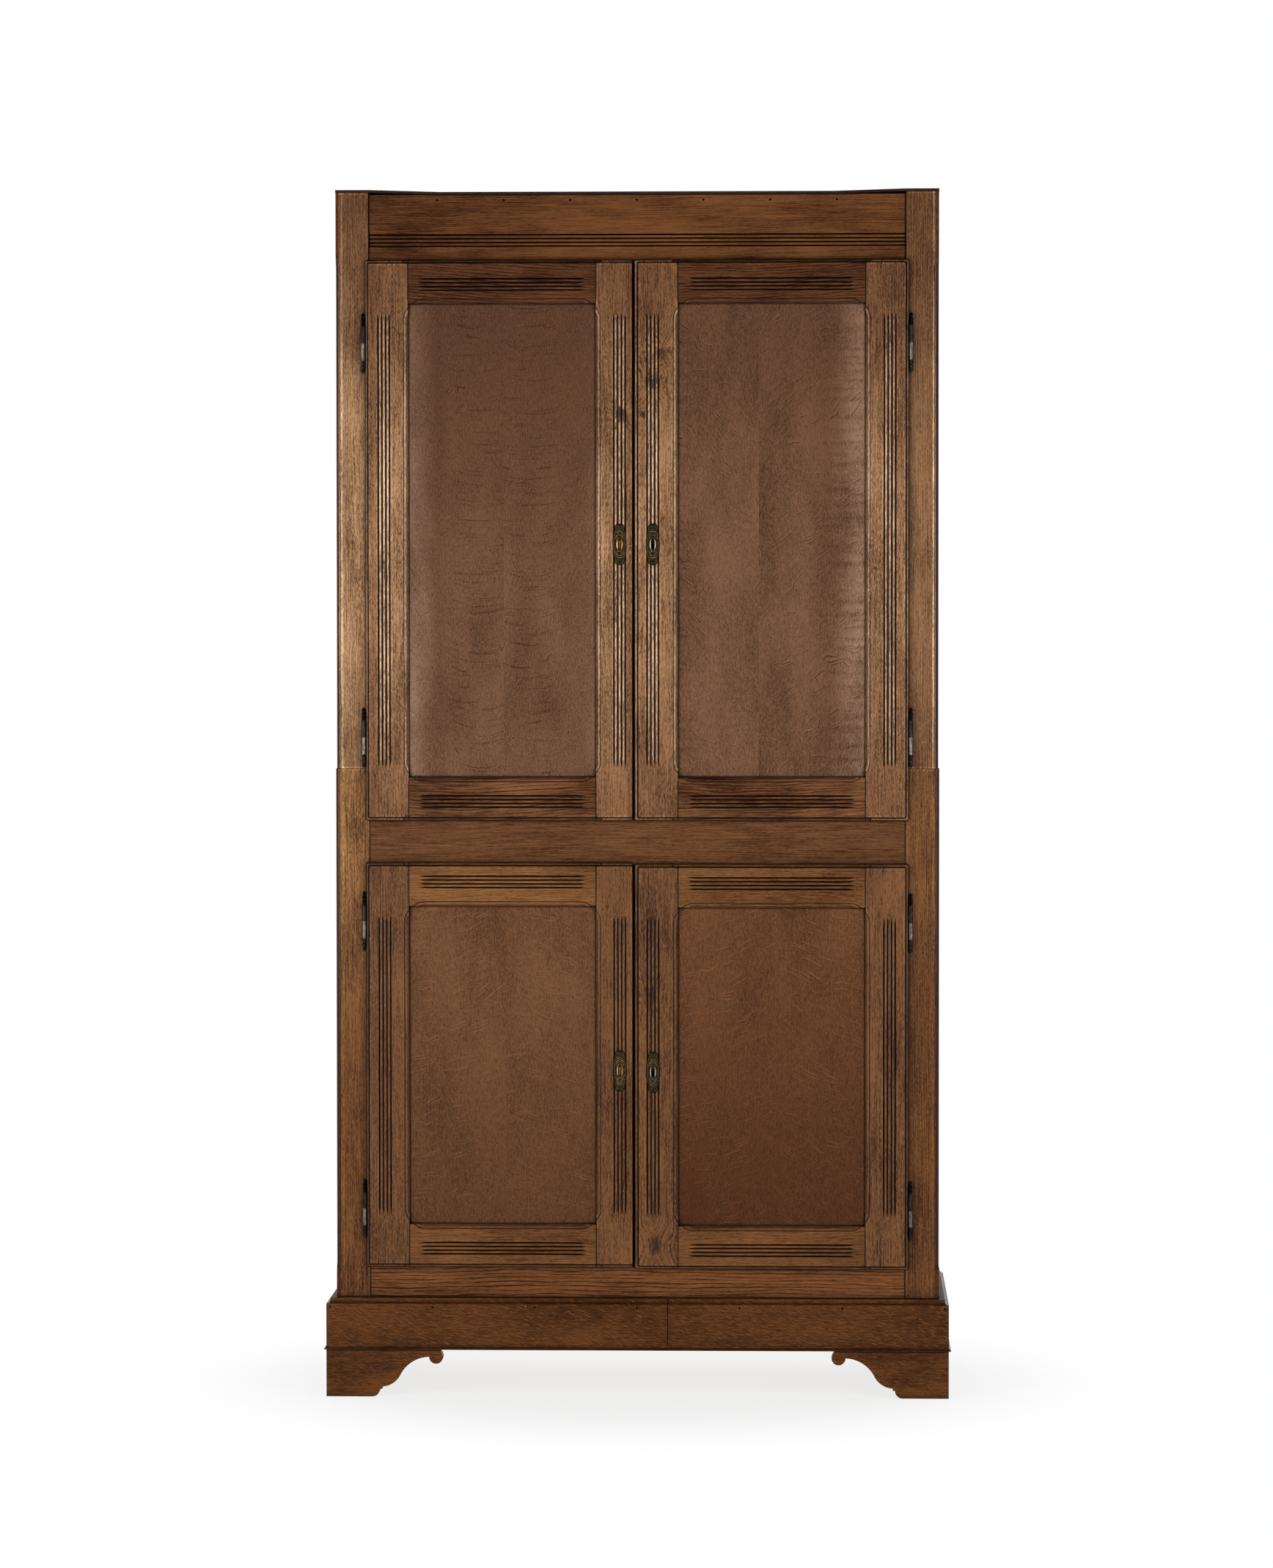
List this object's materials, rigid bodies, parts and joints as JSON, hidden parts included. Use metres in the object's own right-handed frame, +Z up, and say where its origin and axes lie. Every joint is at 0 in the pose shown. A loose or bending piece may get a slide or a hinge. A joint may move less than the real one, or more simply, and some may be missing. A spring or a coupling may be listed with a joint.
{
  "type": "linen press",
  "caption": "Tall oak linen press with framed doors above and below, reeded stiles, a plinth with a bead, and scrolled bracket feet.",
  "frame": {"origin": "on the floor, under the middle of the press", "axes": "+X from the left side to the right side, -Y the way the doors face, +Z up"},
  "size_m": [1.144, 0.502, 2.199],
  "materials": {
    "old_oak": "waxed",
    "figured_oak": "waxed",
    "inner_oak": "dry, unwaxed",
    "dark_iron": "worn",
    "black_iron": "oiled",
    "aged_brass": "tarnished"
  },
  "bodies": {
    "case": {"hinge_pintles": "dark_iron", "top_cover_board": "old_oak", "roof_board": "inner_oak", "frieze_board": "old_oak", "middle_rail": "old_oak", "bottom_rail": "old_oak", "upper_left_front_post": "old_oak", "upper_right_front_post": "old_oak", "lower_left_front_post": "old_oak", "lower_right_front_post": "old_oak", "back_posts": "old_oak", "side_rails": "old_oak", "side_panels": "old_oak", "back_rails": "inner_oak", "back_boards": "inner_oak", "floor_boards": "inner_oak", "shelves": "inner_oak", "board_bearers": "inner_oak", "plinth_front_boards": "old_oak", "plinth_side_boards": "old_oak", "plinth_bead": "old_oak", "bracket_feet": "old_oak", "corner_blocks": "inner_oak", "nails": "dark_iron"},
    "upper_left_door": {"upper_left_door_hinge_stile": "old_oak", "upper_left_door_meeting_stile": "old_oak", "upper_left_door_rails": "old_oak", "upper_left_door_panel": "figured_oak", "upper_left_door_escutcheon": "aged_brass", "upper_left_door_hinge_leaves": "dark_iron", "upper_left_door_keeper": "black_iron", "upper_left_door_bolt_guides": "black_iron"},
    "upper_right_door": {"upper_right_door_hinge_stile": "old_oak", "upper_right_door_meeting_stile": "old_oak", "upper_right_door_rails": "old_oak", "upper_right_door_panel": "figured_oak", "upper_right_door_escutcheon": "aged_brass", "upper_right_door_hinge_leaves": "dark_iron", "upper_right_door_lock_case": "black_iron"},
    "lower_left_door": {"lower_left_door_hinge_stile": "old_oak", "lower_left_door_meeting_stile": "old_oak", "lower_left_door_rails": "old_oak", "lower_left_door_panel": "figured_oak", "lower_left_door_escutcheon": "aged_brass", "lower_left_door_hinge_leaves": "dark_iron", "lower_left_door_keeper": "black_iron", "lower_left_door_bolt_guides": "black_iron"},
    "lower_right_door": {"lower_right_door_hinge_stile": "old_oak", "lower_right_door_meeting_stile": "old_oak", "lower_right_door_rails": "old_oak", "lower_right_door_panel": "figured_oak", "lower_right_door_escutcheon": "aged_brass", "lower_right_door_hinge_leaves": "dark_iron", "lower_right_door_lock_case": "black_iron"},
    "upper_lock_bolt": {"upper_right_door_lock_bolt": "black_iron"},
    "upper_top_bolt": {"upper_left_door_top_bolt": "black_iron"},
    "upper_bottom_bolt": {"upper_left_door_bottom_bolt": "black_iron"},
    "lower_lock_bolt": {"lower_right_door_lock_bolt": "black_iron"},
    "lower_top_bolt": {"lower_left_door_top_bolt": "black_iron"},
    "lower_bottom_bolt": {"lower_left_door_bottom_bolt": "black_iron"}
  },
  "joints": [
    {"name": "upper_left_door_swing", "type": "hinge", "parent": "case", "child": "upper_left_door", "pos_m": [-0.4979, -0.237, 1.562], "axis": [0, 0, -1], "range_deg": [0, 170]},
    {"name": "upper_right_door_swing", "type": "hinge", "parent": "case", "child": "upper_right_door", "pos_m": [0.4979, -0.237, 1.562], "axis": [0, 0, 1], "range_deg": [0, 170]},
    {"name": "lower_left_door_swing", "type": "hinge", "parent": "case", "child": "lower_left_door", "pos_m": [-0.4979, -0.237, 0.6065], "axis": [0, 0, -1], "range_deg": [0, 170]},
    {"name": "lower_right_door_swing", "type": "hinge", "parent": "case", "child": "lower_right_door", "pos_m": [0.4979, -0.237, 0.6065], "axis": [0, 0, 1], "range_deg": [0, 170]},
    {"name": "upper_lock_bolt_slide", "type": "slide", "parent": "upper_right_door", "child": "upper_lock_bolt", "axis": [-1, 0, 0], "range_m": [0, 0.012]},
    {"name": "upper_top_bolt_slide", "type": "slide", "parent": "upper_left_door", "child": "upper_top_bolt", "axis": [0, 0, 1], "range_m": [0, 0.012]},
    {"name": "upper_bottom_bolt_slide", "type": "slide", "parent": "upper_left_door", "child": "upper_bottom_bolt", "axis": [0, 0, -1], "range_m": [0, 0.012]},
    {"name": "lower_lock_bolt_slide", "type": "slide", "parent": "lower_right_door", "child": "lower_lock_bolt", "axis": [-1, 0, 0], "range_m": [0, 0.012]},
    {"name": "lower_top_bolt_slide", "type": "slide", "parent": "lower_left_door", "child": "lower_top_bolt", "axis": [0, 0, 1], "range_m": [0, 0.012]},
    {"name": "lower_bottom_bolt_slide", "type": "slide", "parent": "lower_left_door", "child": "lower_bottom_bolt", "axis": [0, 0, -1], "range_m": [0, 0.012]}
  ]
}
